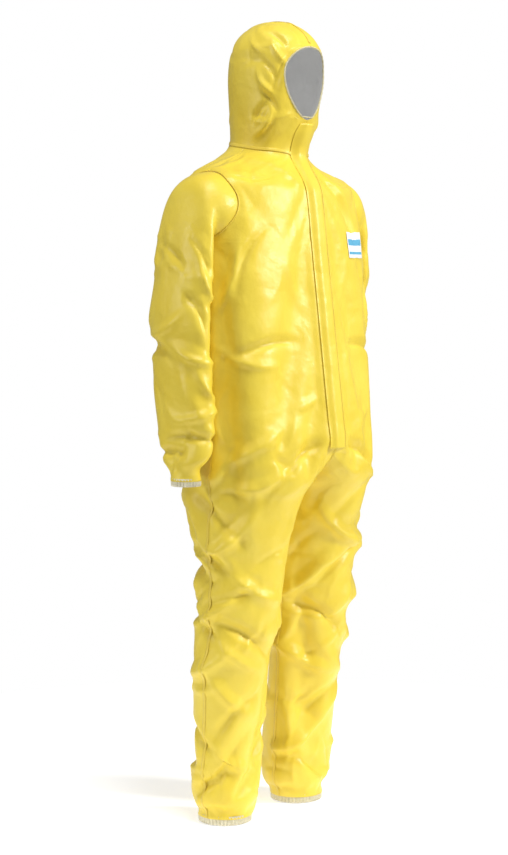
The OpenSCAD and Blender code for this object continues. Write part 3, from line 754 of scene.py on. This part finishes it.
cloth, shape = drape_suit()
panels = [PANELS.index(name) for name in cloth.panels]
points, faces, owners = refine("suit_cloth", shape, cloth.faces, panels)
folds = [(skin(z, angle)[0] * [-side, 1, 1], *fold) for side, z, angle, *fold in SUIT_FOLDS]
points = crumple(points, faces, 11, folds, SUIT_CREASES, suit_still(points))
normals = vertex_normals(points, faces)
suit, suit_normals, SUIT_GRIDS, rest = points, normals, cloth.grids, np.array(cloth.points)
suit_tree = BVHTree.FromPolygons([tuple(p) for p in suit], faces)
for k, name in enumerate(PANELS):
    own = [faces[i] for i in np.flatnonzero(owners == k)]
    hang(two_layers(name + "_cloth", points, normals, own, FILM, LINING), "suit", name)

# ---------------------------------------------------------------- sleeves

# Folds of a sleeve: height, angle round it (0 front, 90 outer side), slant, half length, half width, depth
SLEEVE_FOLDS = [
    (-0.62, 60, 5, 0.09, 0.018, -0.012), (-0.58, 30, -20, 0.08, 0.020, 0.010),
    (-0.44, 140, 15, 0.08, 0.026, -0.012), (-0.40, 110, -25, 0.08, 0.022, 0.010),
    (-0.46, 60, 20, 0.07, 0.018, 0.008), (-0.24, 100, 40, 0.08, 0.020, -0.008),
    (-0.66, 120, -10, 0.08, 0.018, -0.010), (-0.30, 20, 70, 0.09, 0.018, 0.009),
    (-0.36, 40, 62, 0.08, 0.018, -0.009), (-0.52, 20, 55, 0.07, 0.018, 0.008),
    (-0.24, 35, 65, 0.07, 0.016, -0.008)]

SLEEVE_CREASES = [
    (-0.70, -0.18, 12, 60, 25, (0.05, 0.12), (0.022, 0.045), (0.003, 0.009)),
    (-0.70, -0.18, 44, 35, 28, (0.02, 0.07), (0.009, 0.022), (0.001, 0.0035))]


def drape_sleeve(side, lean):
    """One sleeve of the given side (-1 right, 1 left), with its wrinkles."""
    rings = cut_sleeve(lean) * np.array([-side, 1, 1])
    cloth = Cloth()
    cloth.grid(rings if side < 0 else rings[:, ::-1], "sleeve", closed=True)
    p = np.array(cloth.points)
    z = p[:, 2]
    low = z.min()
    growth = 0.01 + 0.03 * smoothstep(-0.2, -0.3, z) + 0.06 * near(z, -0.44, 0.12) + 0.38 * near(z, low, 0.07)
    hold = np.maximum(1 - smoothstep(HEAD_R + 0.012, HEAD_R + 0.05, head_distance(p)), 0.01)
    hold[z < low + 0.002] = 1
    start = p + np.column_stack([noise(p, 0.10, s) for s in (6, 7, 8)]) * 0.005 * (1 - hold)[:, None]
    cloth.points = list(start)
    return cloth, simulate("sleeve_cloth", cloth, hold, growth, 0.15)


for side, body, lean in ((-1, "sleeve_right", 0), (1, "sleeve_left", LEFT_LEAN)):
    cloth, shape = drape_sleeve(side, lean)
    points, faces, owners = refine(body, shape, cloth.faces, [0] * len(cloth.faces))
    ball = 1 - smoothstep(HEAD_R + 0.004, HEAD_R + 0.05, head_distance(points))
    fixed = np.maximum(ball, 1 - smoothstep(-0.716, -0.69, points[:, 2]))
    folds = []
    for z, angle, *fold in SLEEVE_FOLDS:
        w = math.radians(angle)
        folds.append((np.array([side * (0.290 + 0.04 * math.sin(w)), lean - 0.08 * math.cos(w), z]), *fold))
    points = crumple(points, faces, 21 + side, folds, SLEEVE_CREASES, fixed)
    hang(two_layers(body + "_cloth", points, vertex_normals(points, faces), faces, FILM, LINING), body, body)

# ---------------------------------------------------------------- seams on the settled cloth


def strip(name, rows, material, thick, closed=False, rounds=True):
    """A closed strip of material over rows of points, its thickness on the side away from the rows' own normals."""
    cloth = Cloth()
    cloth.grid(rows, name, closed=closed)
    pts, faces = np.array(cloth.points), cloth.faces
    if rounds:
        pts, faces, _ = refine(name, pts, faces, [0] * len(faces))
    return two_layers(name, pts, vertex_normals(pts, faces), faces, material, material, thick)


def seam(name, chain, left, right):
    """A narrow sewn seam that follows a chain of cloth points, with its columns of neighbours on both sides."""
    half, lift, ridge, thick = 0.0035, 0.0004, 0.0006, 0.0007
    c, n = suit[chain], suit_normals[chain]
    a, b = suit[left] - c, suit[right] - c
    a = a / np.maximum(np.linalg.norm(a, axis=1, keepdims=True), 1e-6) * half
    b = b / np.maximum(np.linalg.norm(b, axis=1, keepdims=True), 1e-6) * half
    pucker = (0.00035 * np.sin(np.arange(len(chain)) * 2.1))[:, None]
    rows = np.stack([c + a + n * lift, c + n * (lift + ridge + pucker), c + b + n * lift], axis=1)
    finish_piece(strip(name + "_sewn", rows[:, ::-1], TAPE, thick), "suit", "tape", name)


def turned(side, a, b):
    """The neighbours of a seam's chain, as they follow each other on that side of the suit."""
    return (a, b) if side == "right" else (b, a)


# Each side's grids of points: hood front, hood back, front, back; columns run from the front to the back
HALVES = {"right": SUIT_GRIDS[0::2], "left": [grid[:, ::-1] for grid in SUIT_GRIDS[1::2]]}
hood_r, back_hood_r, front_r, back_r = HALVES["right"]
hood_l, back_hood_l, front_l, back_l = HALVES["left"]
body_z = rest[front_r[:, 0], 2]
below = body_z < -0.225
legs = body_z < -0.80
spine = (body_z < -0.008) & (body_z > -0.70)
NECK_START = 6             # columns from the middle that the storm flap covers
for side, (hood, back_hood, front, back) in HALVES.items():
    seam("side_seam_" + side, front[below, -1], *turned(side, front[below, -2], back[below, 1]))
    seam("inseam_" + side, back[legs, -1], *turned(side, back[legs, -2], front[legs, 1]))
    neck, under, over = (np.concatenate([a[row, NECK_START:], b[row, 1:]])
                         for a, b, row in ((hood, back_hood, -1), (front, back, 1), (hood, back_hood, -2)))
    seam("neck_seam_" + side, neck, *turned(side, under, over))
seam("centre_back_seam", back_r[spine, -1], back_r[spine, -2], back_l[spine, -2])
crown_z = rest[back_hood_r[:, -1], 2]
up, down = crown_z > FACE_Z + FACE_HALF_H + 0.006, crown_z > 0.004
up[0] = down[0] = False
seam("hood_seam", *(np.concatenate([a[up, i][::-1], b[down, j]]) for a, b, i, j in (
    (hood_r, back_hood_r, 0, -1), (hood_r, back_hood_r, 1, -2), (hood_l, back_hood_l, 1, -2))))


def round_piece(name, path, radius, material, sides=10):
    """A closed ring of round cord along a path of points; radius may differ from point to point."""
    path = np.asarray(path)
    run = np.roll(path, -1, axis=0) - np.roll(path, 1, axis=0)
    run /= np.linalg.norm(run, axis=1, keepdims=True)
    out = path - path.mean(axis=0)
    out -= (out * run).sum(axis=1, keepdims=True) * run
    out /= np.linalg.norm(out, axis=1, keepdims=True)
    up = np.cross(run, out)
    radius = np.broadcast_to(radius, len(path))[:, None]
    w = np.linspace(0, 2 * np.pi, sides, endpoint=False)
    verts = np.concatenate([path + radius * (out * math.cos(a) + up * math.sin(a)) for a in w])
    n = len(path)
    faces = [[j * n + i, j * n + (i + 1) % n, (j + 1) % sides * n + (i + 1) % n, (j + 1) % sides * n + i]
             for j in range(sides) for i in range(n)]
    return make_object(name, verts, faces, [material])


# ---------------------------------------------------------------- armholes

for side, (_, _, front, back) in HALVES.items():
    edge = np.abs(head_distance(rest[front[:, -1]]) - ARMHOLE_R) < 0.0004
    path = suit[np.concatenate([front[edge, -1], back[edge, 0][::-1]])]
    path = path[np.linalg.norm(path - np.roll(path, 1, axis=0), axis=1) > 0.0006]
    ray = path - CENTRES[side]
    path = CENTRES[side] + ray / np.linalg.norm(ray, axis=1, keepdims=True) * (ARMHOLE_R + 0.0001)
    thick = 0.0014 + 0.0002 * np.sin(np.arange(len(path)) * 1.9)
    finish_piece(round_piece("armhole_seam_" + side, path, thick, TAPE), "suit", "tape")

# ---------------------------------------------------------------- storm flap and zip


def front_point(z, x, out):
    """A point over the front, x from the middle and out from the fabric; below the zip it goes straight down."""
    held = np.maximum(z, ZIP_BOTTOM)
    q = skin(held, angle_at(held, np.abs(x)))
    return np.column_stack([x, q[:, 1] - out, q[:, 2] + z - held])


def flap_points(z, share, under):
    """Points of the flap at one height: flat at both edges, raised over the zip, uneven along its length."""
    x = share * FLAP_HALF
    x = np.where(x < 0, x * (1 - 0.30 * smoothstep(FLAP_TOP - 0.018, FLAP_TOP, z)), x)
    arch = 0.0010 + 0.0086 * (1 - smoothstep(0.35, 0.95, np.abs(share)))
    p = front_point(np.full(len(x), z), x, arch - under)
    p[:, 1] -= noise(p * [0.4, 1, 1], 0.07, 31) * 0.0016 * (1 - share ** 2)
    return p


share = np.concatenate([[-1, -0.97], np.linspace(-0.9, 0.9, 13), [0.97, 1]])
rows = np.array([flap_points(z, share, 0) for z in np.arange(FLAP_TOP, FLAP_END - 0.0001, -0.008)])
flap = strip("storm_flap_cloth", rows, FILM, 0.0006)
finish_piece(flap, "storm_flap", "film", "storm_flap")
glued = np.linspace(-0.93, -0.55, 6)
rows = np.array([flap_points(z, glued, 0.0003) for z in np.arange(FLAP_TOP - 0.024, FLAP_END + 0.007, -0.008)])
finish_piece(strip("flap_adhesive_strip", rows, ADHESIVE, 0.0002), "storm_flap", "adhesive", "flap_adhesive")
line = front_point(np.linspace(FLAP_TOP - 0.004, FLAP_END + 0.004, 90), np.full(90, FLAP_HALF - 0.004), 0.0030)
across = np.array([0.0007, 0, 0])
rows = np.stack([line - across, line + [0, -0.0005, 0], line + across], axis=1)
finish_piece(strip("storm_flap_stitching", rows, TAPE, 0.0005), "storm_flap", "film")


def coil(side):
    """One row of zip teeth: small hooks, thickest in the middle, that reach across the middle line in turn."""
    pitch, length, half = 0.0026, 0.536, 0.0012
    lean = math.atan2(0.068, 0.540)
    down = np.array([0, -math.sin(lean), -math.cos(lean)])
    out = np.array([0, -math.cos(lean), math.sin(lean)])
    top = np.array([0, -0.118, ZIP_TOP])
    verts, faces = [], []
    for k in range(int(length / pitch)):
        at = top + down * (0.005 + k * pitch + (pitch / 2 if side > 0 else 0)) - out * 0.0032
        base = len(verts)
        for d, x0, x1 in ((-0.0007, 0.0006, 0.0024), (0, -0.0001, 0.0026), (0.0007, 0.0006, 0.0024)):
            for x, h in ((x0, half), (x1, half), (x1, -half), (x0, -half)):
                verts.append(at + down * d + np.array([side * x, 0, 0]) + out * h)
        for r in (base, base + 4):
            faces += [[r + i, r + (i + 1) % 4, r + 4 + (i + 1) % 4, r + 4 + i] for i in range(4)]
        faces += [[base + 3, base + 2, base + 1, base], [base + 8, base + 9, base + 10, base + 11]]
    name = "zip_coil_" + ("left" if side > 0 else "right")
    return make_object(name, verts, faces, [ZIP_PLASTIC], smooth=False)


for side, name in ((-1, "zip_teeth_right"), (1, "zip_teeth_left")):
    finish_piece(coil(side), "suit", "zip_plastic", name)

# CAD nodes that stay as they are, with their materials
CARRIED = {"zip_tape_right": ZIP_TAPE, "zip_tape_left": ZIP_TAPE, "zip_slider": ZIP_PLASTIC,
           "zip_pull": ZIP_PLASTIC, "zip_top_stops": ZIP_PLASTIC, "zip_bottom_stop": ZIP_PLASTIC}
for name, material in CARRIED.items():
    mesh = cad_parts[name].data
    mesh.materials.clear()
    mesh.materials.append(material)

# ---------------------------------------------------------------- elastics


def gathered_band(name, centre, radius, high, low, ruffles, ruffle):
    """An elastic at a cuff: a short tube with an even ripple all round, thicker in the middle of its height."""
    w = np.linspace(0, 2 * np.pi, ruffles * 8, endpoint=False)
    rows = []
    for t in np.linspace(0, 1, 5):
        ripple = ruffle * np.sin(w * ruffles + 0.6 * np.sin(3 * w)) * (0.5 + 0.5 * t)
        r = radius + ripple + 0.0008 * math.sin(math.pi * t)
        z = np.full(len(w), high + (low - high) * t)
        rows.append(np.column_stack([centre[0] + r * np.cos(w), centre[1] + r * np.sin(w), z]))
    return strip(name, np.array(rows), ELASTIC, 0.0013, closed=True, rounds=False)


for side, name, lean in ((-1, "right", 0), (1, "left", LEFT_LEAN)):
    wrist = gathered_band("wrist_band_" + name, (side * 0.298, -0.008 + lean), 0.0298, -0.712, -0.729, 30, 0.0010)
    finish_piece(wrist, "sleeve_" + name, "elastic", "wrist_elastic_" + name)
    ankle = gathered_band("ankle_band_" + name, (side * 0.126, 0.033), 0.0570, -1.474, -1.4935, 44, 0.0014)
    finish_piece(ankle, "suit", "elastic", "ankle_elastic_" + name)

open_rows = face_half(rest[hood_r[:, 0], 2]) > 0.001
brim = suit[np.concatenate([hood_r[open_rows, 0], hood_l[open_rows, 0][::-1]])]
middle = brim.mean(axis=0)
brim = brim + (middle - brim) * 0.012
steps = np.concatenate([[0], np.cumsum(np.linalg.norm(np.diff(np.vstack([brim, brim[:1]]), axis=0), axis=1))])
count = 160
even = np.linspace(0, steps[-1], count, endpoint=False)
brim = np.column_stack([np.interp(even, steps, np.append(brim[:, k], brim[0, k])) for k in range(3)])
cord = round_piece("face_band", brim, 0.0018 + 0.0004 * np.sin(np.arange(count) * 1.45), FACE_ELASTIC)
finish_piece(cord, "suit", "elastic", "face_elastic")

# ---------------------------------------------------------------- waist elastic and labels


def on_cloth(p, out):
    """Points carried to the settled cloth, a distance out from it."""
    found = []
    for q in p:
        at, normal, _, _ = suit_tree.find_nearest(Vector(q))
        found.append(np.array(at + normal * out))
    return np.array(found)


def patch(name, z_values, x_values, back, out, material, thick):
    """A flat trim laid on the suit: rows of points at the given heights and distances from the middle."""
    rows = []
    for z in z_values:
        zs = np.full(len(x_values), z)
        angle = angle_at(zs, np.abs(x_values))
        p = skin(zs, 180 - angle if back else angle)
        p[:, 0] = x_values
        rows.append(on_cloth(p, out))
    return strip(name, np.array(rows), material, thick, rounds=False)


waist = patch("waist_band", np.linspace(WAIST_Z + 0.008, WAIST_Z - 0.008, 5), np.linspace(-0.205, 0.205, 96),
              True, -0.0022, ELASTIC, 0.0008)
finish_piece(waist, "suit", "elastic", "waist_elastic")
care = patch("care_label_sheet", np.linspace(-0.026, -0.062, 8), np.linspace(-0.018, 0.018, 8),
             True, -0.0030, PAPER, 0.0004)
finish_piece(care, "suit", "label", "care_label")

label_rows, label_columns = 29, 24
label = patch("chest_label_print", np.linspace(LABEL_Z + LABEL_HALF_H, LABEL_Z - LABEL_HALF_H, label_rows + 1),
              np.linspace(LABEL_X - LABEL_HALF_W, LABEL_X + LABEL_HALF_W, label_columns + 1),
              False, 0.0012, PAPER, 0.0006)
label.data.materials.append(BLUE)
one_layer = label_rows * label_columns
for k, face in enumerate(label.data.polygons[:2 * one_layer]):
    row, column = divmod(k % one_layer, label_columns)
    if (8 <= row < 15 or 22 <= row < 25) and 1 <= column < label_columns - 1:
        face.material_index = 2
finish_piece(label, "suit", "label", "chest_label")
